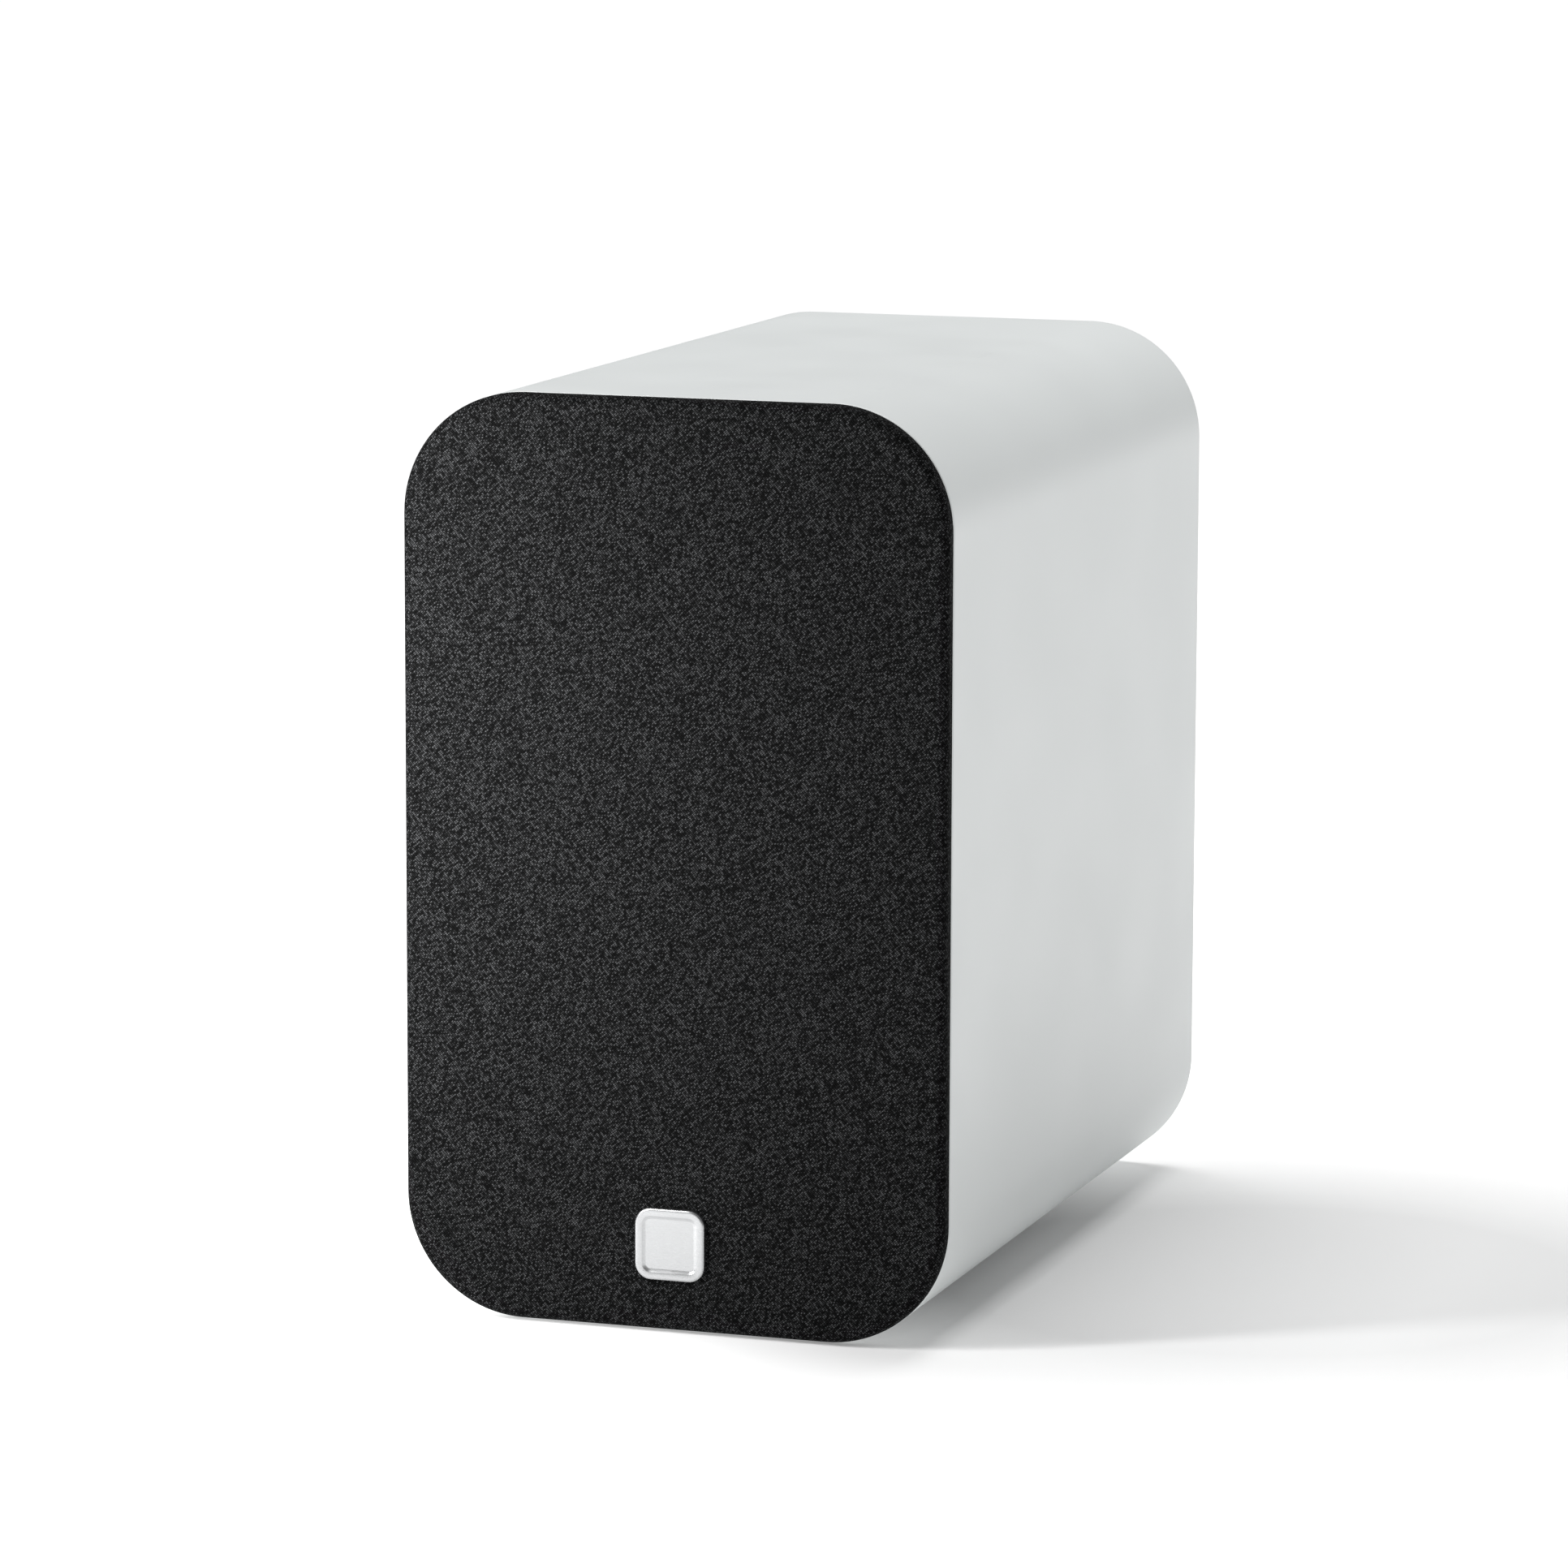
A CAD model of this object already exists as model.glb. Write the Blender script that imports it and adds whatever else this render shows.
# %% [markdown]
# # A bookshelf speaker, finished in Blender
# The speaker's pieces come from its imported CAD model, all in one frame: metres, +Z up, the grille facing -Y.
# This file keeps every piece whose shape is already right and gives it a real finish, and it remakes the pieces
# that a CAD program draws too plainly, such as cloth, rubber, wadding, copper wire and screws. We start by
# loading the model and noting its box, because nothing we make may change the speaker's size.

# %% Load the frame
import math

import bmesh
import bpy
from mathutils import Matrix, Vector, noise
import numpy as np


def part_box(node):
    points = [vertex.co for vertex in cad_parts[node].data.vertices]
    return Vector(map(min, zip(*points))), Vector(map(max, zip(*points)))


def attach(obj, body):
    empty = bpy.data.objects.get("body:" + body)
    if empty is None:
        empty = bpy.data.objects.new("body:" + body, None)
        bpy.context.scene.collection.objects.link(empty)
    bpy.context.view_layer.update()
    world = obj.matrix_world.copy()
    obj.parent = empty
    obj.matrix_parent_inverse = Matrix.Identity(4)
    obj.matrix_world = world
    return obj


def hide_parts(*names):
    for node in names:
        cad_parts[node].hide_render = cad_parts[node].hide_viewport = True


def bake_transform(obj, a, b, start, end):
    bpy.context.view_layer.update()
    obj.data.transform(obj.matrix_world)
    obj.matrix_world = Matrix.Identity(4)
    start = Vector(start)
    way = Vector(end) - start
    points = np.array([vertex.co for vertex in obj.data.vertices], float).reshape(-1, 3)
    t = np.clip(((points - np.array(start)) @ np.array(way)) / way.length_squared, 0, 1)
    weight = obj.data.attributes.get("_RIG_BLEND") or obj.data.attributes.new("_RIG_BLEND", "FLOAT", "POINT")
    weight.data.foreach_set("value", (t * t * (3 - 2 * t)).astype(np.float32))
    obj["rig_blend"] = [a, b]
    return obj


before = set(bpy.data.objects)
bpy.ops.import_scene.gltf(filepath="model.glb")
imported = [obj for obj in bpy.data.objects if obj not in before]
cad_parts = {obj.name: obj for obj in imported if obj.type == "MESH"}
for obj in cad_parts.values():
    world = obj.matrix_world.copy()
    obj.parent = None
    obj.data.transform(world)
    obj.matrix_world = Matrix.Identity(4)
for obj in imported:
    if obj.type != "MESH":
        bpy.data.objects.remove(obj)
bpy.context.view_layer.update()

mm = 0.001

# %% [markdown]
# ## The camera and the room
# The camera comes first, because every finish is judged from where we look. It stands two metres away with a
# long lens, a little to the right and a little above, so the front, the right side and the top all show. A
# direction in space is easier to read as two angles than as three coordinates, so the camera is placed by
# azimuth and elevation about a point on the cabinet's front.

# %% Camera
cabinet_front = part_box("front_baffle")[0].y
cabinet_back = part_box("cabinet_shell")[1].y
azimuth, elevation, roll = math.radians(18.414), math.radians(9.15), math.radians(0.167)
camera_distance = 2.0527
aim = Vector((0.0331, cabinet_front, 0.1674))

towards_camera = Vector(
    (math.sin(azimuth) * math.cos(elevation), -math.cos(azimuth) * math.cos(elevation), math.sin(elevation))
)
right = Vector((math.cos(azimuth), math.sin(azimuth), 0))
up = towards_camera.cross(right)
tilted_right = math.cos(roll) * right + math.sin(roll) * up
tilted_up = math.cos(roll) * up - math.sin(roll) * right

focal_length, film_width = 160.1, 36
lens = bpy.data.cameras.new("camera")
lens.lens, lens.sensor_width = focal_length, film_width
camera = bpy.data.objects.new("camera", lens)
camera.matrix_world = Matrix((tilted_right, tilted_up, towards_camera)).transposed().to_4x4()
camera.location = aim + towards_camera * camera_distance
bpy.context.scene.collection.objects.link(camera)
bpy.context.scene.camera = camera
print("camera at", [round(c, 3) for c in camera.location])

# %% [markdown]
# ## Making a material
# Every finish in this file starts from the same surface shader, so one function makes it. A second one gives
# the point on the piece that a pattern reads: Object coordinates are metres on the piece itself, so a grain of
# 0.2 mm is written as 0.2 mm and stays on the surface when the piece moves.

# %% Material helpers
def material(name, color, roughness=0.5, metallic=0.0, **sockets):
    """A new material, its node tree and its surface shader; other constants are set straight on the shader."""
    made = bpy.data.materials.new(name)
    made.use_nodes = True
    shader = made.node_tree.nodes["Principled BSDF"]
    shader.inputs["Base Color"].default_value = (*color, 1)
    shader.inputs["Roughness"].default_value = roughness
    shader.inputs["Metallic"].default_value = metallic
    for socket, value in sockets.items():
        shader.inputs[socket.replace("_", " ")].default_value = value
    return made, made.node_tree, shader


def node(tree, kind, settings=(), **inputs):
    """A node with its settings and inputs given by name; an input that is a socket is linked to it."""
    made = tree.nodes.new(kind)
    for key, value in dict(settings).items():
        setattr(made, key, value)
    for key, value in inputs.items():
        socket = made.inputs[int(key[1:])] if key[1:].isdigit() else made.inputs[key.replace("_", " ")]
        if isinstance(value, bpy.types.NodeSocket):
            tree.links.new(value, socket)
        else:
            socket.default_value = value
    return made


def on_piece(tree, stretch=(1, 1, 1)):
    """Object coordinates in metres, stretched along each axis."""
    place = node(tree, "ShaderNodeTexCoord")
    return node(tree, "ShaderNodeMapping", Vector=place.outputs["Object"], Scale=stretch).outputs[0]


def grain(tree, where, size, detail=3.0):
    """Noise whose lumps are about the given size."""
    return node(tree, "ShaderNodeTexNoise", Vector=where, Scale=1 / size, Detail=detail).outputs["Fac"]


def calculate(tree, operation, first, second=0.0, third=0.0):
    """One step of arithmetic on values or sockets."""
    return node(tree, "ShaderNodeMath", {"operation": operation}, _0=first, _1=second, _2=third).outputs[0]


def remap(tree, value, low, high, new_low, new_high):
    """A value carried from one range to another and held inside it."""
    inputs = {"_0": value, "_1": low, "_2": high, "_3": new_low, "_4": new_high}
    return node(tree, "ShaderNodeMapRange", **inputs).outputs[0]


def blend_colors(tree, share, first, second):
    """A colour between two others, by a share that varies over the surface."""
    mix = node(tree, "ShaderNodeMix", {"data_type": "RGBA"}, Factor=share)
    mix.inputs[6].default_value, mix.inputs[7].default_value = (*first, 1), (*second, 1)
    return mix.outputs[2]


def emboss(tree, shader, height, depth, strength=1.0):
    """Raises the surface by a height from 0 to 1, times a depth in metres."""
    bump = node(tree, "ShaderNodeBump", Height=height, Distance=depth, Strength=strength)
    tree.links.new(bump.outputs[0], shader.inputs["Normal"])


def grained(name, color, roughness, size, depth, metallic=0.0, stretch=(1, 1, 1), mottle=0.1, **sockets):
    """A finish with one grain that shades its colour, varies its gloss and raises its surface."""
    made, tree, shader = material(name, color, roughness, metallic, **sockets)
    lumps = grain(tree, on_piece(tree, stretch), size)
    darker = tuple(c * (1 - mottle) for c in color)
    lighter = tuple(min(1, c * (1 + mottle)) for c in color)
    tree.links.new(blend_colors(tree, lumps, darker, lighter), shader.inputs["Base Color"])
    tree.links.new(remap(tree, lumps, 0.3, 0.7, roughness - 0.05, roughness + 0.05), shader.inputs["Roughness"])
    emboss(tree, shader, lumps, depth)
    return made


# %% [markdown]
# ## The studio
# A product on a white ground needs a floor that stays white all round it, so the floor glows like a lit paper
# sweep, and least where the speaker's shadow falls. A narrow strip stands close to the front, at its left:
# being close, it lights the cloth's left edge more than its right, and it throws the speaker's shadow to the
# right. A wide panel hangs above and behind the front's plane, so that it lights the top and leaves the black
# cloth dark.

# %% Floor, backdrop and lights
view = bpy.context.scene.view_settings
view.view_transform, view.look = "Standard", "None"


def mesh_object(name, points, faces, edges=()):
    """A new object at the origin, whose place is in its mesh."""
    mesh = bpy.data.meshes.new(name)
    mesh.from_pydata([tuple(p) for p in points], list(edges), faces)
    made = bpy.data.objects.new(name, mesh)
    bpy.context.scene.collection.objects.link(made)
    return made


floor_reach, glow_near, glow_far = 12.0, 0.05, 0.85
floor = mesh_object(
    "studio_floor",
    [(x * floor_reach, y * floor_reach, 0) for x, y in ((-1, -1), (1, -1), (1, 1), (-1, 1))],
    [(0, 1, 2, 3)],
)
floor_white, floor_tree, floor_shader = material("studio_white", (0.86, 0.86, 0.86), 0.9)
floor_shader.inputs["Emission Color"].default_value = (1, 1, 1, 1)
shade_middle, shade_inner, shade_outer = (0.15, -0.01, 0.0), 0.10, 0.36
span = {"operation": "DISTANCE"}
away = node(floor_tree, "ShaderNodeVectorMath", span, _0=on_piece(floor_tree), _1=shade_middle).outputs["Value"]
glow = remap(floor_tree, away, shade_inner, shade_outer, glow_near, glow_far)
floor_tree.links.new(glow, floor_shader.inputs["Emission Strength"])
floor.data.materials.append(floor_white)

world = bpy.data.worlds.new("studio")
world.use_nodes = True
world.node_tree.nodes["Background"].inputs["Color"].default_value = (1, 1, 1, 1)
seen = node(world.node_tree, "ShaderNodeLightPath").outputs["Is Camera Ray"]
room_light, seen_white = 0.20, 1.0
backdrop = remap(world.node_tree, seen, 0, 1, room_light, seen_white)
world.node_tree.links.new(backdrop, world.node_tree.nodes["Background"].inputs["Strength"])
bpy.context.scene.world = world


def softbox(name, place, facing_point, width, height, power):
    """A soft rectangular light at a place, turned to a point."""
    lamp = bpy.data.lights.new(name, "AREA")
    lamp.shape, lamp.size, lamp.size_y, lamp.energy = "RECTANGLE", width, height, power
    made = bpy.data.objects.new(name, lamp)
    made.location = place
    made.rotation_euler = (Vector(facing_point) - Vector(place)).to_track_quat("-Z", "Y").to_euler()
    made.visible_camera = False
    bpy.context.scene.collection.objects.link(made)


middle = Vector((0, 0, 0.14))
softbox("front_strip", (-0.14, -0.29, 0.20), (-0.07, -0.13, 0.18), 0.04, 0.26, 1.15)
softbox("top_panel", (0.0, 0.35, 1.6), middle, 1.1, 0.9, 19.0)

# %% [markdown]
# ## Outlines that every flat part shares
# The cabinet, the grille and its plate are all rounded rectangles, at different insets and depths. One function
# gives the points of such an outline, and another joins a stack of outlines into a skin. A straight side next
# to a round corner gets one extra point close to the corner: without it the smooth shading of the corner would
# bleed across the whole flat side, and the side would look bent.

# %% Rounded outlines and skins
corner_steps = 24
support = 0.4 * mm


def outline(width, height, radius, steps=corner_steps):
    """Points (x, z) round a rounded rectangle about the origin, with a supporting point beside each corner."""
    points = []
    for quarter in range(4):
        middle_of_turn = Vector(
            ((width / 2 - radius) * (1, -1, -1, 1)[quarter], (height / 2 - radius) * (1, 1, -1, -1)[quarter])
        )
        start = math.radians(90 * quarter)
        before = Vector((math.cos(start), math.sin(start)))
        after = Vector((-math.sin(start), math.cos(start)))
        points.append(middle_of_turn + before * radius - after * support)
        for step in range(steps + 1):
            turn = start + math.radians(90) * step / steps
            points.append(middle_of_turn + Vector((math.cos(turn), math.sin(turn))) * radius)
        points.append(middle_of_turn + after * radius - before * support)
    return points


def circle(radius, steps=96):
    """Points (x, z) round a circle about the origin."""
    turns = [2 * math.pi * step / steps for step in range(steps)]
    return [Vector((math.cos(t), math.sin(t))) * radius for t in turns]


def skin(name, loops, close=False, front_cap=False, back_cap=False, middle=(0, 0)):
    """A mesh through loops of equal length, each given as (points, y); close joins the last loop to the first."""
    size = len(loops[0][0])
    points = [(p.x + middle[0], y, p.y + middle[1]) for loop, y in loops for p in loop]
    faces = []
    for row in range(len(loops) if close else len(loops) - 1):
        a, b = row * size, ((row + 1) % len(loops)) * size
        faces += [(a + i, b + i, b + (i + 1) % size, a + (i + 1) % size) for i in range(size)]
    if front_cap:
        faces.append(tuple(range(size)))
    if back_cap:
        last = (len(loops) - 1) * size
        faces.append(tuple(last + i for i in reversed(range(size))))
    made = mesh_object(name, points, faces)
    tidy_faces(made)
    return made


def tidy_faces(piece, crease=40):
    """Turns a piece's faces outwards and shades it smooth, but for edges that turn by more than a crease angle."""
    work = bmesh.new()
    work.from_mesh(piece.data)
    bmesh.ops.recalc_face_normals(work, faces=work.faces)
    for face in work.faces:
        face.smooth = True
    for edge in work.edges:
        edge.smooth = len(edge.link_faces) == 2 and edge.calc_face_angle(0) < math.radians(crease)
    work.to_mesh(piece.data)
    work.free()


def round_edge(inset, y, radius, start, end, steps=6):
    """(inset, y) points round an edge about a centre: 90 degrees faces forwards, 0 outwards, -90 backwards."""
    turns = [math.radians(start + (end - start) * step / steps) for step in range(steps + 1)]
    return [(inset - radius * math.cos(t), y - radius * math.sin(t)) for t in turns]


def place(piece, body, slot, *replaced):
    """Lets a finished piece ride on a body, take its finish from a slot and stand for CAD nodes."""
    if replaced:
        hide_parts(*replaced)
    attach(piece, body)
    print(piece.name, "has", len(piece.data.polygons), "faces")


# %% [markdown]
# ## The cabinet's wrap
# The real cabinet is board bent round four large corners and sprayed in satin paint, with no seam. Its edges at
# the front and the back are broken by a small radius, which catches the light as a thin line. The wrap is a
# stack of rounded outlines along its profile: round the rim, along the outside, round the back, and back along
# the inside. Spray paint has two textures: a fine one that only breaks up reflections, and a slow waviness,
# orange peel.

# %% Cabinet wrap
shell_low, shell_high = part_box("cabinet_shell")
cabinet_width = shell_high.x - shell_low.x
cabinet_height = shell_high.z - shell_low.z
cabinet_middle = (0, (shell_low.z + shell_high.z) / 2)
corner_radius = 37 * mm
wall, front_rim, edge_radius = 15 * mm, 6 * mm, 1 * mm
baffle_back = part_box("front_baffle")[1].y


def inset_outline(inset, steps=corner_steps):
    """The cabinet's outline, moved inwards."""
    return outline(cabinet_width - 2 * inset, cabinet_height - 2 * inset, corner_radius - inset, steps)


wrap_profile = (
    [(front_rim, cabinet_front), (edge_radius + support, cabinet_front)]
    + round_edge(edge_radius, cabinet_front + edge_radius, edge_radius, 90, 0)
    + [(0, cabinet_front + edge_radius + support), (0, cabinet_back - edge_radius - support)]
    + round_edge(edge_radius, cabinet_back - edge_radius, edge_radius, 0, -90)
    + [(edge_radius + support, cabinet_back), (wall, cabinet_back), (wall, baffle_back), (front_rim, baffle_back)]
)
cabinet_wrap = skin(
    "cabinet_wrap", [(inset_outline(inset), y) for inset, y in wrap_profile], close=True, middle=cabinet_middle
)


def satin_paint(name, color, roughness, peel):
    """Sprayed paint: fine tooth, slow orange peel, and a touch of unevenness in its gloss."""
    made, tree, shader = material(name, color, roughness)
    where = on_piece(tree)
    tooth = grain(tree, where, 0.35 * mm, 2)
    waves = grain(tree, where, 3.5 * mm, 1)
    patches = grain(tree, where, 45 * mm, 2)
    tree.links.new(remap(tree, patches, 0.3, 0.7, roughness - 0.03, roughness + 0.04), shader.inputs["Roughness"])
    height = calculate(tree, "MULTIPLY_ADD", waves, 0.6, calculate(tree, "MULTIPLY", tooth, 0.4))
    emboss(tree, shader, height, peel)
    return made


cabinet_white = (0.770, 0.797, 0.794)
cabinet_paint = satin_paint("satin_white_paint", cabinet_white, 0.42, 0.012 * mm)
panel_paint = satin_paint("flat_white_paint", cabinet_white, 0.5, 0.02 * mm)
cabinet_wrap.data.materials.append(cabinet_paint)
place(cabinet_wrap, "cabinet", "cabinet_paint", "cabinet_shell")

# %% [markdown]
# ## The grille's cloth
# Grille cloth is an open polyester twill, stretched over the frame, wrapped round its edge and stapled or glued
# behind. So the piece is one sheet: flat in front, round the frame's edge, and a short hem turned behind. Each
# point is given where it would lie on the flat cloth as its UV, in metres, so the weave runs over the edge
# unbroken.

# %% Cloth cover
cloth_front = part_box("grille_cloth")[0].y
frame_low, frame_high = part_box("grille_frame")
cloth_gauge = 0.45 * mm
cloth_bend, hem_bend, hem_width = 2.8 * mm, 0.6 * mm, 8.5 * mm
cloth_inset = (cabinet_width - (frame_high.x - frame_low.x)) / 2 - cloth_gauge
hem_end = cloth_inset + hem_width
cloth_back = frame_high.y + 0.03 * mm
cloth_rows = (
    [(cloth_inset + cloth_bend + support, cloth_front)]
    + round_edge(cloth_inset + cloth_bend, cloth_front + cloth_bend, cloth_bend, 90, 0, 8)
    + round_edge(cloth_inset + hem_bend, cloth_back - hem_bend, hem_bend, 0, -90, 4)
    + [(hem_end, cloth_back)]
)
cloth = skin(
    "grille_cloth_cover",
    [(inset_outline(inset), y) for inset, y in cloth_rows],
    front_cap=True,
    middle=cabinet_middle,
)


def lay_flat(piece, rows):
    """UVs in metres: a point past the flat front lies as far out on the cut cloth as its way round the edge."""
    uv = piece.data.uv_layers.new(name="flat_cloth")
    per_row = len(piece.data.vertices) // len(rows)
    reach, far = [0.0], 0.0
    for (inset, y), (next_inset, next_y) in zip(rows, rows[1:]):
        far += math.hypot(next_inset - inset, next_y - y)
        reach.append(far)
    first = [piece.data.vertices[i].co for i in range(per_row)]
    for loop in piece.data.loops:
        row, i = divmod(loop.vertex_index, per_row)
        here, last, following = first[i], first[i - 1], first[(i + 1) % per_row]
        along = (following - last).normalized()
        out = Vector((along.z, -along.x))
        uv.data[loop.index].uv = Vector((here.x, here.z)) + out * reach[row]
    return far


turned_in = lay_flat(cloth, cloth_rows)
print("cloth turned round the edge on each side, in mm:", round(turned_in / mm, 1))


def twill(name, shadow, yarn):
    """Twill: yarns run up to the right, each broken into short floats, and some floats catch more light."""
    made, tree, shader = material(name, yarn, 0.7)
    shader.inputs["Specular IOR Level"].default_value = 0.02
    flat = node(tree, "ShaderNodeUVMap", {"uv_map": "flat_cloth"}).outputs[0]
    wander_length, wander_width = 2.4 * mm, 0.7 * mm
    fuzz = node(tree, "ShaderNodeTexNoise", Vector=flat, Scale=1 / wander_length, Detail=2.0).outputs["Color"]
    wander = node(tree, "ShaderNodeVectorMath", {"operation": "SCALE"}, Vector=fuzz, Scale=wander_width).outputs[0]
    bent = node(tree, "ShaderNodeVectorMath", {"operation": "ADD"}, _0=flat, _1=wander).outputs[0]
    lean = math.radians(39)
    float_length, yarn_pitch, yarn_height = 0.70 * mm, 0.48 * mm, 0.10 * mm
    along = (math.cos(lean) / float_length, math.sin(lean) / float_length, 0)
    across = (-math.sin(lean) / yarn_pitch, math.cos(lean) / yarn_pitch, 0)
    dot = {"operation": "DOT_PRODUCT"}
    u = node(tree, "ShaderNodeVectorMath", dot, _0=bent, _1=along).outputs["Value"]
    v = node(tree, "ShaderNodeVectorMath", dot, _0=bent, _1=across).outputs["Value"]

    def swell(value, power):
        """A wave from 0 between two yarns or floats to 1 on top of one."""
        wave = calculate(tree, "COSINE", calculate(tree, "MULTIPLY", value, 2 * math.pi))
        return calculate(tree, "POWER", calculate(tree, "MULTIPLY_ADD", wave, 0.5, 0.5), power)

    one_float = {"_0": calculate(tree, "ROUND", u), "_1": calculate(tree, "ROUND", v)}
    cell = node(tree, "ShaderNodeCombineXYZ", **one_float).outputs[0]
    chance = node(tree, "ShaderNodeTexWhiteNoise", Vector=cell).outputs["Value"]
    rarity, dullest, float_ends = 2.2, 0.05, 0.15
    glint = calculate(tree, "MULTIPLY_ADD", calculate(tree, "POWER", chance, rarity), 1 - dullest, dullest)
    along_float = calculate(tree, "MULTIPLY_ADD", swell(u, 0.8), 1 - float_ends, float_ends)
    crown = calculate(tree, "MULTIPLY", swell(v, 0.8), along_float)
    light = calculate(tree, "MULTIPLY", crown, glint)
    tree.links.new(blend_colors(tree, light, shadow, yarn), shader.inputs["Base Color"])
    emboss(tree, shader, crown, yarn_height, 0.7)
    return made


black_twill = twill("black_twill", (0.0010, 0.0010, 0.0010), (0.098, 0.100, 0.103))
cloth.data.materials.append(black_twill)
thickness = cloth.modifiers.new("cloth_gauge", "SOLIDIFY")
thickness.thickness, thickness.offset = cloth_gauge, -1
place(cloth, "grille", "grille_cloth", "grille_cloth")

# %% [markdown]
# ## The plate on the grille
# A small plate sits near the grille's foot. It is pressed from satin aluminium: a rounded square whose face is
# sunk a little inside a raised rim. A bevelled cube could never have that corner, so it is a skin through a
# stack of outlines, from the sunk face over the rim and round the edge to the back, and it is closed at both
# ends.

# %% Plate
plate_low, plate_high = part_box("badge")
plate_size = plate_high.x - plate_low.x
plate_middle = (0, (plate_low.z + plate_high.z) / 2)
plate_corner, plate_edge, sunk = 5 * mm, 0.8 * mm, 0.40 * mm
plate_front, plate_back = plate_low.y, cloth_front + 0.05 * mm
plate_rows = (
    [(3.6 * mm, plate_front + sunk + 0.02 * mm), (3.2 * mm, plate_front + sunk)]
    + [(2.5 * mm, plate_front + 0.05 * mm), (2.3 * mm, plate_front), (1.0 * mm, plate_front)]
    + round_edge(plate_edge, plate_front + plate_edge, plate_edge, 90, 0)
    + [(0, plate_back), (0.3 * mm, plate_back)]
)
plate = skin(
    "grille_plate",
    [(outline(plate_size - 2 * i, plate_size - 2 * i, plate_corner - min(i, 4 * mm), 10), y) for i, y in plate_rows],
    front_cap=True,
    back_cap=True,
    middle=plate_middle,
)
brushed = (0.15, 1.0, 8.0)
plate.data.materials.append(
    grained("satin_aluminium", (0.46, 0.465, 0.47), 0.30, 0.5 * mm, 0.0015 * mm, 1.0, brushed, 0.03)
)
place(plate, "grille", "badge", "badge")

# %% [markdown]
# ## Pieces that keep their CAD shape
# Most pieces are turned, moulded or cut, and the CAD model already has their true shape. A CAD mesh is loose
# triangles, though, and would shade as flat facets. A small node tree welds them, smooths every edge that turns
# gently and leaves real corners sharp. It changes no point, so it may stay on the piece, where a welded copy
# would have to stand for the CAD piece. Each finish is then a colour, a gloss and a grain of the right size.

# %% Smooth shading for CAD pieces
def tree_group(name, inputs):
    """An empty geometry tree with a geometry input and output and further named inputs."""
    made = bpy.data.node_groups.new(name, "GeometryNodeTree")
    made.interface.new_socket("Geometry", in_out="INPUT", socket_type="NodeSocketGeometry")
    for label, kind, value in inputs:
        socket = made.interface.new_socket(label, in_out="INPUT", socket_type=kind)
        if value is not None:
            socket.default_value = value
    made.interface.new_socket("Geometry", in_out="OUTPUT", socket_type="NodeSocketGeometry")
    return made, made.nodes.new("NodeGroupInput"), made.nodes.new("NodeGroupOutput")


sharp_turn, weld_reach = math.radians(28), 0.002 * mm
smoothing_inputs = [
    ("Crease", "NodeSocketFloat", sharp_turn),
    ("Weld Distance", "NodeSocketFloat", weld_reach),
    ("Material", "NodeSocketMaterial", None),
]
smoothing, given, result = tree_group("weld_and_smooth", smoothing_inputs)
welded = node(
    smoothing, "GeometryNodeMergeByDistance", Geometry=given.outputs["Geometry"],
    Distance=given.outputs["Weld Distance"],
)
all_smooth = node(smoothing, "GeometryNodeSetShadeSmooth", {"domain": "FACE"}, _0=welded.outputs[0])
turn = node(smoothing, "GeometryNodeInputMeshEdgeAngle").outputs["Unsigned Angle"]
is_corner = node(
    smoothing, "FunctionNodeCompare", {"data_type": "FLOAT", "operation": "GREATER_THAN"}, _0=turn,
    _1=given.outputs["Crease"],
)
creased = node(
    smoothing, "GeometryNodeSetShadeSmooth", {"domain": "EDGE"}, _0=all_smooth.outputs[0],
    _1=is_corner.outputs[0], _2=False,
)
realized = node(smoothing, "GeometryNodeRealizeInstances", Geometry=creased.outputs[0])
coated = node(
    smoothing, "GeometryNodeSetMaterial", Geometry=realized.outputs[0], Material=given.outputs["Material"]
)
smoothing.links.new(coated.outputs[0], result.inputs[0])


def input_names(tree):
    """A modifier's names for a tree's inputs."""
    return {item.name: item.identifier for item in tree.interface.items_tree if item.item_type == "SOCKET"}


def finish(paint, *nodes):
    """Gives CAD pieces a finish, and welds and smooths them."""
    for name in nodes:
        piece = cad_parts[name]
        for slot in piece.material_slots:
            slot.material = paint
        smoothed = piece.modifiers.new("smooth", "NODES")
        smoothed.node_group = smoothing
        smoothed[input_names(smoothing)["Material"]] = paint


finish(panel_paint, "front_baffle", "back_panel")
fibreboard = grained("fibreboard", (0.42, 0.30, 0.19), 0.8, 0.5 * mm, 0.03 * mm, mottle=0.25)
finish(fibreboard, "shelf_brace")
moulded = grained("moulded_black", (0.020, 0.020, 0.021), 0.5, 0.25 * mm, 0.02 * mm)
finish(moulded, "grille_frame", "terminal_cup", "post_bases", "tweeter_rear_chamber")
finish(grained("port_black", (0.018, 0.018, 0.019), 0.42, 0.3 * mm, 0.012 * mm), "port_tube")
finish(grained("soft_rubber", (0.022, 0.022, 0.023), 0.78, 0.5 * mm, 0.03 * mm), "feet")
finish(grained("closed_foam", (0.03, 0.03, 0.03), 0.85, 0.4 * mm, 0.04 * mm), "woofer_gasket", "tweeter_gasket")
finish(grained("nickel_plate", (0.62, 0.60, 0.56), 0.22, 2 * mm, 0.002 * mm, 1.0), "grille_magnets", "baffle_magnets")
finish(grained("zinc_plate", (0.60, 0.60, 0.58), 0.32, 1.5 * mm, 0.004 * mm, 1.0),
       "post_nuts", "woofer_top_plate", "woofer_yoke", "tweeter_top_plate", "tweeter_yoke")
gold = grained("gold_plate", (0.80, 0.56, 0.24), 0.22, 2 * mm, 0.002 * mm, 1.0, mottle=0.05)
finish(gold, "red_post", "black_post", "solder_tags", "push_on_tabs")
finish(grained("turned_brass", (0.66, 0.48, 0.22), 0.3, 1 * mm, 0.004 * mm, 1.0), "bracket_inserts")
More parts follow.
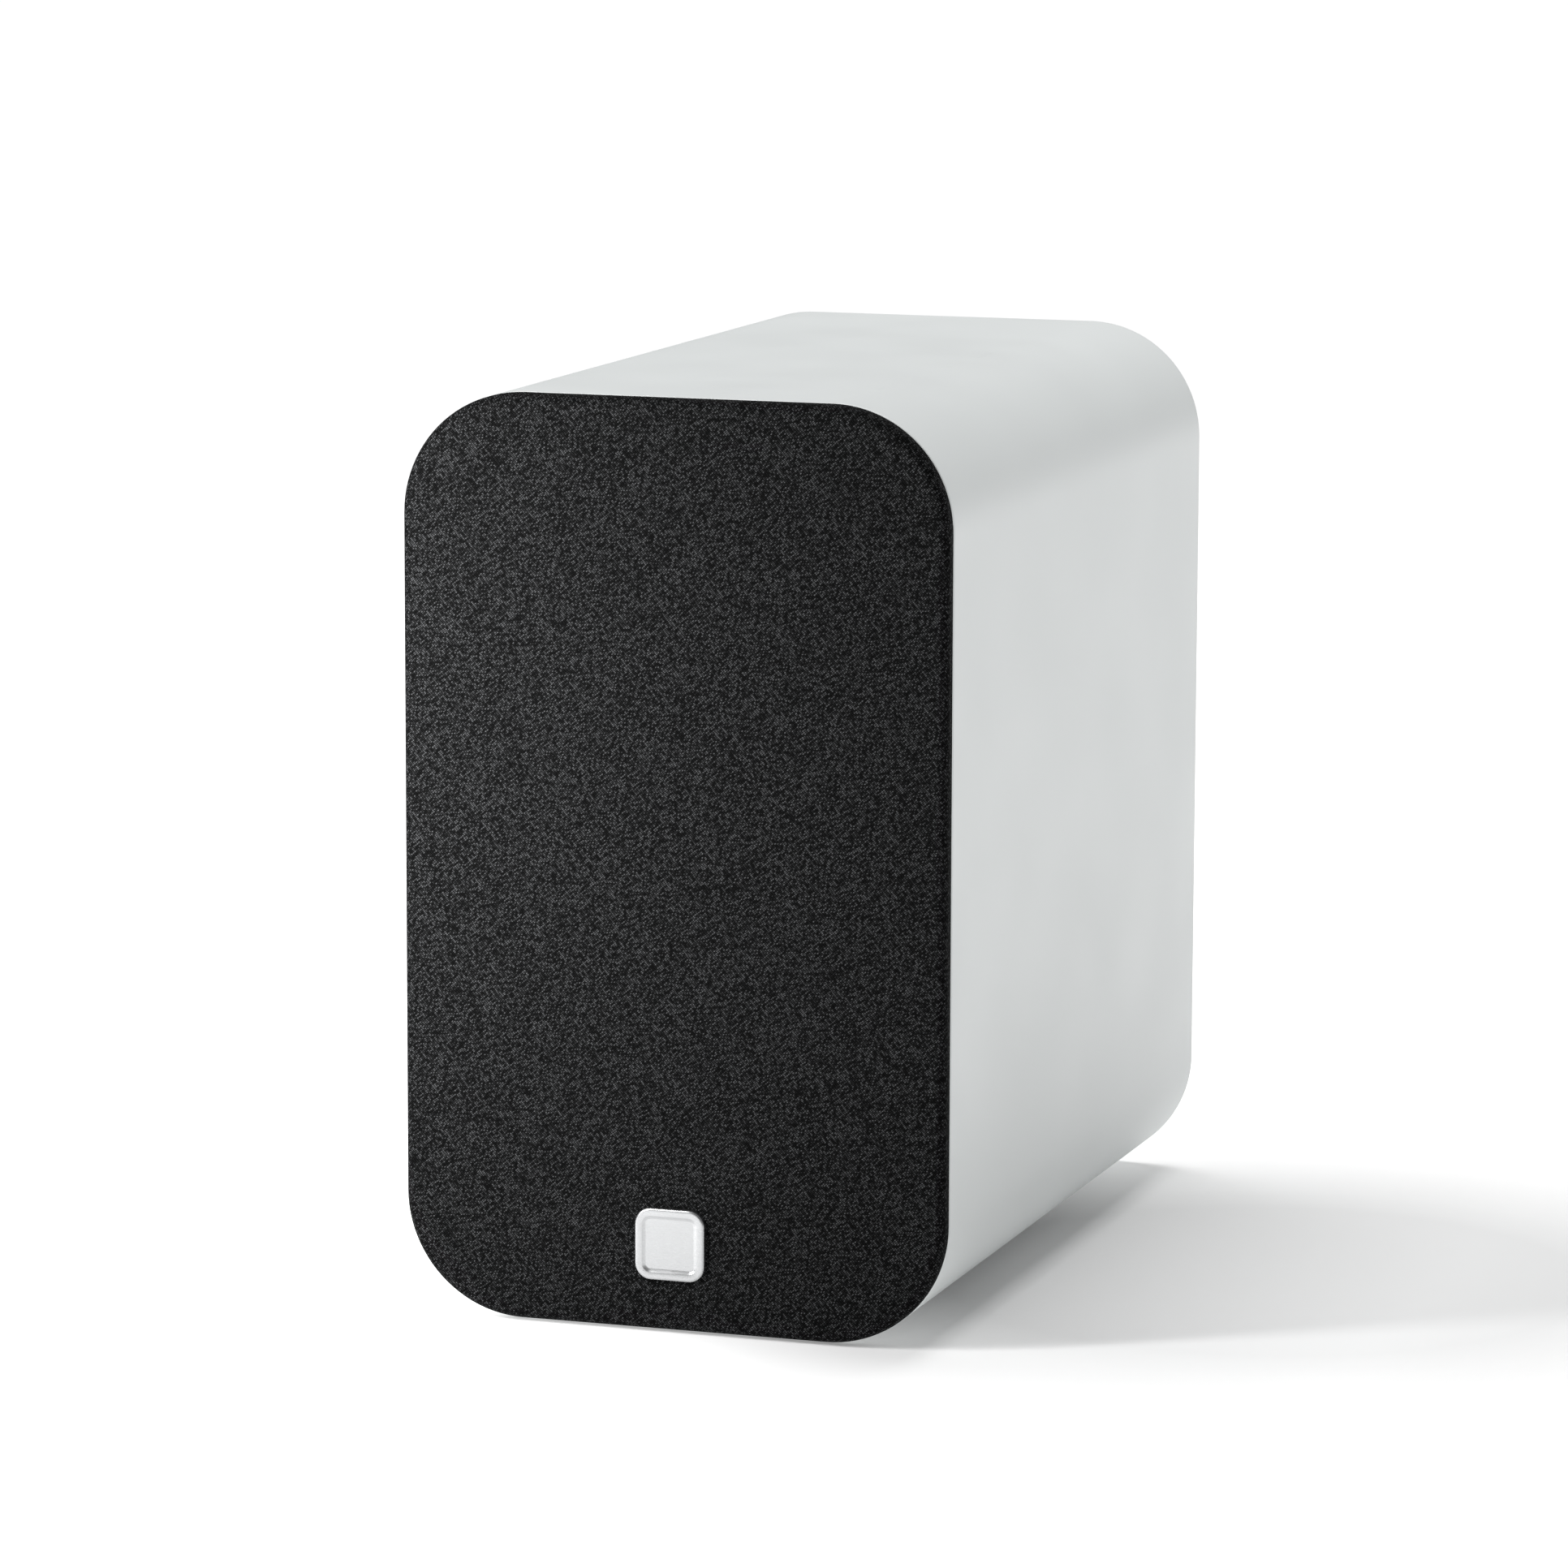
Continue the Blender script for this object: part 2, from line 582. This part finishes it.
finish(grained("red_gloss", (0.42, 0.012, 0.012), 0.3, 0.6 * mm, 0.006 * mm), "red_knob", "red_washer")
finish(grained("black_gloss", (0.016, 0.016, 0.016), 0.3, 0.6 * mm, 0.006 * mm), "black_knob", "black_washer")
finish(grained("powder_coat", (0.02, 0.02, 0.021), 0.55, 0.5 * mm, 0.03 * mm), "woofer_basket")
finish(grained("satin_metal_ring", (0.50, 0.51, 0.52), 0.3, 1.2 * mm, 0.003 * mm, 1.0), "woofer_trim_ring")
finish(grained("coated_paper", (0.030, 0.031, 0.033), 0.6, 0.7 * mm, 0.05 * mm, mottle=0.3),
       "woofer_cone", "woofer_dust_cap")
finish(grained("doped_silk", (0.025, 0.025, 0.027), 0.45, 0.3 * mm, 0.02 * mm), "tweeter_dome")
finish(grained("satin_black", (0.016, 0.016, 0.017), 0.4, 0.3 * mm, 0.012 * mm), "tweeter_faceplate")
finish(grained("ferrite", (0.035, 0.035, 0.037), 0.6, 0.4 * mm, 0.03 * mm), "woofer_magnet", "tweeter_magnet")
finish(grained("black_oxide", (0.03, 0.03, 0.032), 0.35, 0.8 * mm, 0.005 * mm, 0.9),
       "woofer_screws", "tweeter_screws", "terminal_cup_screws")
finish(grained("bright_zinc", (0.62, 0.62, 0.6), 0.3, 1 * mm, 0.003 * mm, 1.0), "board_screws")
finish(grained("nylon", (0.66, 0.64, 0.57), 0.5, 0.6 * mm, 0.01 * mm),
       "woofer_coil_former", "board_standoffs", "inductor_bobbins")
finish(grained("board_laminate", (0.02, 0.09, 0.035), 0.4, 0.5 * mm, 0.01 * mm, mottle=0.2),
       "crossover_board", "woofer_terminal_board")
finish(grained("enamelled_copper", (0.62, 0.22, 0.08), 0.25, 0.8 * mm, 0.01 * mm, 1.0),
       "woofer_coil", "tweeter_coil")
finish(grained("wrapped_film", (0.55, 0.36, 0.04), 0.3, 2 * mm, 0.01 * mm), "film_capacitors")
finish(grained("cement", (0.68, 0.66, 0.60), 0.8, 0.6 * mm, 0.05 * mm), "power_resistors")
finish(grained("wire_jacket", (0.03, 0.03, 0.032), 0.4, 0.8 * mm, 0.006 * mm),
       "woofer_leads", "tweeter_leads", "input_leads")
finished = [name for name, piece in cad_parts.items() if piece.modifiers]
print(len(finished), "CAD pieces keep their shape and have a finish")

# %% [markdown]
# ## Rubber and cloth that flex
# Three rings hold the moving parts and let them stroke: the woofer's rubber half-roll, its stiffened cloth
# spider, and the tweeter's small silk roll. Their outer edges are glued to the frame, and their inner edges
# move, so a rigid copy would tear away from one or the other. Each is turned from a profile of smooth arcs and
# then bends between the two bodies. The bend runs outwards from the driver's axis, so each point's share of the
# motion is set by its radius.

# %% Flexing rings
woofer_axis = (0.0, (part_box("woofer_cone")[0].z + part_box("woofer_cone")[1].z) / 2)
tweeter_axis = (0.0, (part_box("tweeter_dome")[0].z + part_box("tweeter_dome")[1].z) / 2)


def arc(start, end, rise, steps=12):
    """Points (radius, depth) along a circular arc whose middle stands forward of its ends by a rise."""
    half = (end[0] - start[0]) / 2
    ball = (half**2 + rise**2) / (2 * rise)
    centre = ((start[0] + end[0]) / 2, start[1] - rise + ball)
    sweep = math.asin(half / ball)
    turns = [sweep * (2 * step / steps - 1) for step in range(steps + 1)]
    return [(centre[0] + ball * math.sin(t), centre[1] - ball * math.cos(t)) for t in turns]


def turned(name, front, gauge, axis):
    """A ring of even gauge, turned about a driver's axis from its front profile of (radius, depth) in mm."""
    back = [(radius, depth + gauge) for radius, depth in reversed(front)]
    loops = [(circle(radius * mm, 128), cabinet_front + depth * mm) for radius, depth in front + back]
    return skin(name, loops, close=True, middle=axis)


def flex(piece, body, replaced, axis, still, moving):
    """Bends a piece between the cabinet and a moving body, by each point's distance from the driver's axis."""
    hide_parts(replaced)
    level = piece.data.vertices[0].co.y
    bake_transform(piece, "cabinet", body, (axis[0] + still, level, axis[1]), (axis[0] + moving, level, axis[1]))
    share = piece.data.attributes["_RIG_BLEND"].data
    for vertex, value in zip(piece.data.vertices, share):
        away = math.hypot(vertex.co.x - axis[0], vertex.co.z - axis[1])
        part_way = min(1, max(0, (still - away) / (still - moving)))
        value.value = part_way * part_way * (3 - 2 * part_way)
    print(piece.name, "flexes over", round((still - moving) / mm, 1), "mm")


cone_edge, roll_end = 47.0, 56.6
roll = arc((cone_edge, 3.0), (roll_end, 3.0), 4.0, 20) + [(57.2, 3.0), (59.6, 3.0)]
surround = turned("woofer_surround_roll", [(46.9, 3.0)] + roll, 0.6, woofer_axis)
surround.data.materials.append(grained("rubber_roll", (0.016, 0.016, 0.016), 0.55, 0.6 * mm, 0.01 * mm))
flex(
    surround, "woofer_cone_assembly", "woofer_surround", woofer_axis,
    still=roll_end * mm, moving=cone_edge * mm,
)

spider_folds, spider_start, spider_end, spider_depth = 8, 13.4, 36.0, 31.2
fold = (spider_end - spider_start) / spider_folds
folds = []
for i in range(spider_folds):
    near = spider_start + i * fold
    side = arc((near, 0), (near + fold, 0), 1.1, 8)
    folds += [(radius, spider_depth + depth * (1 if i % 2 == 0 else -1)) for radius, depth in side[:-1]]
foot = [(spider_end, spider_depth), (37.0, 34.0), (38.0, 36.4), (38.6, 36.8), (40.2, 36.8)]
spider = turned("woofer_spider_cloth", folds + foot, 0.7, woofer_axis)
spider.data.materials.append(grained("stiffened_cloth", (0.50, 0.31, 0.10), 0.7, 0.35 * mm, 0.05 * mm, mottle=0.3))
flex(
    spider, "woofer_cone_assembly", "woofer_spider", woofer_axis,
    still=spider_end * mm, moving=14.5 * mm,
)

silk_lip = [(12.45, 4.75), (12.7, 4.75)]
dome_edge, silk_end = 12.9, 15.1
silk_arc = arc((dome_edge, 4.7), (silk_end, 4.7), 0.8, 10)
silk_roll = turned("tweeter_surround_roll", silk_lip + silk_arc, 0.4, tweeter_axis)
silk_roll.data.materials.append(grained("doped_silk_roll", (0.025, 0.025, 0.027), 0.45, 0.3 * mm, 0.02 * mm))
flex(
    silk_roll, "tweeter_dome_assembly", "tweeter_surround", tweeter_axis,
    still=silk_end * mm, moving=dome_edge * mm,
)

# %% [markdown]
# ## Wire that is laid by a rule
# A braided lead is a bundle of strands that twist round a path, and an air-cored inductor is one enamelled wire
# wound in even turns. Both follow a rule, so a tree of geometry nodes makes them from a few named numbers. One
# tree twists strands along a path by tilting a small ring of circles as it goes; a helix for the winding is the
# same idea with the path itself coiled. Each result is turned into a plain mesh, so that nothing depends on a
# live tree.

# %% Wire trees
def grown(name, tree, base, values):
    """The plain mesh that a tree grows on a base mesh, with the tree's inputs given by name."""
    host = mesh_object(name + "_host", base[0], [], base[1])
    growing = host.modifiers.new("grow", "NODES")
    growing.node_group = tree
    for label, value in values.items():
        growing[input_names(tree)[label]] = value
    host.data.update()
    bpy.context.view_layer.update()
    evaluated = host.evaluated_get(bpy.context.evaluated_depsgraph_get())
    mesh = bpy.data.meshes.new_from_object(evaluated)
    made = bpy.data.objects.new(name, mesh)
    bpy.context.scene.collection.objects.link(made)
    bpy.data.objects.remove(host)
    return made


def twisted_wire_tree():
    """Strands that twist along a path: the base mesh is the path's points joined by edges."""
    tree, given, result = tree_group(
        "twisted_wire",
        [
            ("Strands", "NodeSocketInt", 5),
            ("Strand Radius", "NodeSocketFloat", 0.2 * mm),
            ("Bundle Radius", "NodeSocketFloat", 0.35 * mm),
            ("Pitch", "NodeSocketFloat", 4 * mm),
            ("Spacing", "NodeSocketFloat", 0.5 * mm),
            ("Material", "NodeSocketMaterial", None),
        ],
    )
    path = node(tree, "GeometryNodeMeshToCurve", Mesh=given.outputs["Geometry"])
    fine = tree.nodes.new("GeometryNodeResampleCurve")
    fine.mode = "LENGTH"
    tree.links.new(path.outputs[0], fine.inputs["Curve"])
    tree.links.new(given.outputs["Spacing"], fine.inputs["Length"])
    length = node(tree, "GeometryNodeSplineParameter").outputs["Length"]
    turns = node(tree, "ShaderNodeMath", {"operation": "DIVIDE"}, _0=length, _1=given.outputs["Pitch"])
    angle = node(tree, "ShaderNodeMath", {"operation": "MULTIPLY"}, _0=turns.outputs[0], _1=2 * math.pi)
    tilted = node(tree, "GeometryNodeSetCurveTilt", Curve=fine.outputs[0], Tilt=angle.outputs[0])
    strand = node(tree, "GeometryNodeCurvePrimitiveCircle", Resolution=8, Radius=given.outputs["Strand Radius"])
    ring = node(
        tree, "GeometryNodeCurvePrimitiveCircle", Resolution=given.outputs["Strands"],
        Radius=given.outputs["Bundle Radius"],
    )
    spread = node(tree, "GeometryNodeInstanceOnPoints", Points=ring.outputs[0], Instance=strand.outputs[0])
    profile = node(tree, "GeometryNodeRealizeInstances", Geometry=spread.outputs[0])
    wire = node(tree, "GeometryNodeCurveToMesh", {}, _0=tilted.outputs[0])
    tree.links.new(profile.outputs[0], wire.inputs["Profile Curve"])
    wire.inputs["Fill Caps"].default_value = True
    smooth = node(tree, "GeometryNodeSetShadeSmooth", {"domain": "FACE"}, _0=wire.outputs[0])
    solid = node(tree, "GeometryNodeRealizeInstances", Geometry=smooth.outputs[0])
    painted = node(tree, "GeometryNodeSetMaterial", Geometry=solid.outputs[0], Material=given.outputs["Material"])
    tree.links.new(painted.outputs[0], result.inputs[0])
    return tree


def winding_tree():
    """One outer layer of round wire in even turns, over a tube that stands for the turns beneath."""
    tree, given, result = tree_group(
        "winding",
        [
            ("Inner Radius", "NodeSocketFloat", 6 * mm),
            ("Outer Radius", "NodeSocketFloat", 12 * mm),
            ("Height", "NodeSocketFloat", 12 * mm),
            ("Wire Radius", "NodeSocketFloat", 0.5 * mm),
            ("Place", "NodeSocketVector", None),
            ("Material", "NodeSocketMaterial", None),
        ],
    )
    inner, outer, height, wire = [given.outputs[n] for n in ("Inner Radius", "Outer Radius", "Height", "Wire Radius")]
    layer = calculate(tree, "SUBTRACT", outer, wire)
    winding_height = calculate(tree, "MULTIPLY_ADD", wire, -2.0, height)
    turns = calculate(tree, "DIVIDE", winding_height, calculate(tree, "MULTIPLY", wire, 2.0))
    coil = node(
        tree, "GeometryNodeCurveSpiral", Resolution=40, Rotations=turns, Start_Radius=layer, End_Radius=layer,
        Height=winding_height,
    )
    lifted = node(tree, "GeometryNodeTransform", Geometry=coil.outputs[0])
    tree.links.new(node(tree, "ShaderNodeCombineXYZ", Z=wire).outputs[0], lifted.inputs["Translation"])
    section = node(tree, "GeometryNodeCurvePrimitiveCircle", Resolution=8, Radius=wire)
    turned_wire = node(tree, "GeometryNodeCurveToMesh", _0=lifted.outputs[0])
    tree.links.new(section.outputs[0], turned_wire.inputs["Profile Curve"])
    turned_wire.inputs["Fill Caps"].default_value = True
    middle_radius = calculate(tree, "MULTIPLY", calculate(tree, "ADD", inner, layer), 0.5)
    ring = node(tree, "GeometryNodeCurvePrimitiveCircle", Resolution=64, Radius=middle_radius)
    depth = calculate(tree, "SUBTRACT", layer, inner)
    wall_section = node(tree, "GeometryNodeCurvePrimitiveQuadrilateral", Width=depth, Height=height)
    tube = node(tree, "GeometryNodeCurveToMesh", _0=ring.outputs[0])
    tree.links.new(wall_section.outputs[0], tube.inputs["Profile Curve"])
    raised = node(tree, "GeometryNodeTransform", Geometry=tube.outputs[0])
    half = calculate(tree, "MULTIPLY", height, 0.5)
    tree.links.new(node(tree, "ShaderNodeCombineXYZ", Z=half).outputs[0], raised.inputs["Translation"])
    rounded = node(tree, "GeometryNodeSetShadeSmooth", {"domain": "FACE"}, _0=turned_wire.outputs[0])
    both = tree.nodes.new("GeometryNodeJoinGeometry")
    tree.links.new(raised.outputs[0], both.inputs[0])
    tree.links.new(rounded.outputs[0], both.inputs[0])
    placed = node(tree, "GeometryNodeTransform", Geometry=both.outputs[0], Translation=given.outputs["Place"])
    solid = node(tree, "GeometryNodeRealizeInstances", Geometry=placed.outputs[0])
    painted = node(tree, "GeometryNodeSetMaterial", Geometry=solid.outputs[0], Material=given.outputs["Material"])
    tree.links.new(painted.outputs[0], result.inputs[0])
    return tree


def path_mesh(points):
    """The base that a wire tree grows on: points, their edges and no faces."""
    return points, [(i, i + 1) for i in range(len(points) - 1)]


# %% [markdown]
# ## Wadding
# A pad of carded polyester lies against the cabinet's roof and damps the air inside. It is soft and irregular,
# with no flat face: the box it fills is rounded off as a pillow, and then its surface is moved in and out by
# slow lumps and small tufts. A simulation would add nothing here, because the pad carries no load and has lain
# still since it was fitted.

# %% Wadding
def pad(name, low, high, squareness=5, cuts=44, lump=2.2 * mm, tuft=0.7 * mm):
    """A rounded pad that fills a box, with lumps and tufts."""
    mesh = bpy.data.meshes.new(name)
    work = bmesh.new()
    bmesh.ops.create_cube(work, size=2)
    bmesh.ops.subdivide_edges(work, edges=work.edges, cuts=cuts, use_grid_fill=True)
    centre, half = (low + high) / 2, (high - low) / 2
    for vertex in work.verts:
        spread = sum(abs(c) ** squareness for c in vertex.co) ** (1 / squareness)
        place_in_box = vertex.co / spread
        place_here = centre + Vector([p * h for p, h in zip(place_in_box, half)])
        away = place_in_box.normalized()
        swell = noise.noise(place_here / (18 * mm)) * lump + noise.noise(place_here / (3 * mm)) * tuft
        vertex.co = place_here + away * (swell - lump * 0.6)
    bmesh.ops.recalc_face_normals(work, faces=work.faces)
    for face in work.faces:
        face.smooth = True
    work.to_mesh(mesh)
    work.free()
    made = bpy.data.objects.new(name, mesh)
    bpy.context.scene.collection.objects.link(made)
    return made


wadding_pad = pad("wadding_pad", *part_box("wadding"))
wadding_pad.data.materials.append(
    grained("carded_fibre", (0.72, 0.72, 0.69), 0.95, 0.5 * mm, 0.5 * mm, stretch=(1, 0.12, 1), mottle=0.2)
)
place(wadding_pad, "cabinet", "polyester_wadding", "wadding")

# %% [markdown]
# ## Braided leads and windings
# The two braided leads arch from the basket's terminal board to the cone, with slack for its stroke, and bend
# with it. Each inductor's winding is one outer layer of round wire over a core that fills the turns beneath it.

# %% Leads and windings
wire_tree = twisted_wire_tree()
tinsel = grained("braided_copper", (0.45, 0.25, 0.14), 0.45, 0.25 * mm, 0.03 * mm, 0.8)
enamel = grained("enamelled_copper_wire", (0.62, 0.22, 0.08), 0.25, 0.8 * mm, 0.004 * mm, 1.0)


def smooth_path(corners, steps=14):
    """A path that rounds its corners: a chain of quadratic curves between the middles of its straight runs."""
    corners = [Vector(c) for c in corners]
    middles = [(a + b) / 2 for a, b in zip(corners, corners[1:])]
    points = [corners[0]]
    for start, corner, end in zip(middles, corners[1:-1], middles[1:]):
        for step in range(steps + 1):
            t = step / steps
            points.append(start * (1 - t) ** 2 + corner * 2 * t * (1 - t) + end * t**2)
    return points + [corners[-1]]


def lead_route(side):
    """A braided lead's corners, from the terminal board to the cone."""
    z = woofer_axis[1] + side * 5.5 * mm
    run = [(50.0, 37.4, z), (50.0, 27.5, z), (40.0, 21.0, z), (32.0, 13.4, woofer_axis[1] + side * 4.0 * mm)]
    return [(x * mm, cabinet_front + depth * mm, height) for x, depth, height in run]


leads = bpy.data.meshes.new("braided_leads")
joined = bmesh.new()
for side in (-1, 1):
    points, edges = path_mesh(smooth_path(lead_route(side)))
    strands = grown("lead", wire_tree, (points, edges), {"Material": tinsel})
    joined.from_mesh(strands.data)
    bpy.data.objects.remove(strands)
joined.to_mesh(leads)
joined.free()
leads.materials.append(tinsel)
braided = bpy.data.objects.new("braided_leads", leads)
bpy.context.scene.collection.objects.link(braided)
flex(
    braided, "woofer_cone_assembly", "tinsel_leads", woofer_axis, still=50.0 * mm, moving=34.0 * mm
)

coil_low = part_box("inductor_windings")[0]
coil_tree = winding_tree()
# (x, y, flange radius, height between the flanges) of each inductor, in mm
for number, (x, y, flange, height) in enumerate([(-27.0, 38.0, 20.0, 17.2), (30.0, 20.0, 14.0, 12.2)], start=1):
    winding = grown(
        f"inductor_winding_{number}",
        coil_tree,
        ([coil_low], []),
        {
            "Inner Radius": (flange * 0.4 + 0.1) * mm,
            "Outer Radius": (flange - 1.5) * mm,
            "Height": height * mm,
            "Wire Radius": 0.55 * mm,
            "Place": (x * mm, y * mm, coil_low.z),
            "Material": enamel,
        },
    )
    place(winding, "cabinet", "copper", "inductor_windings")
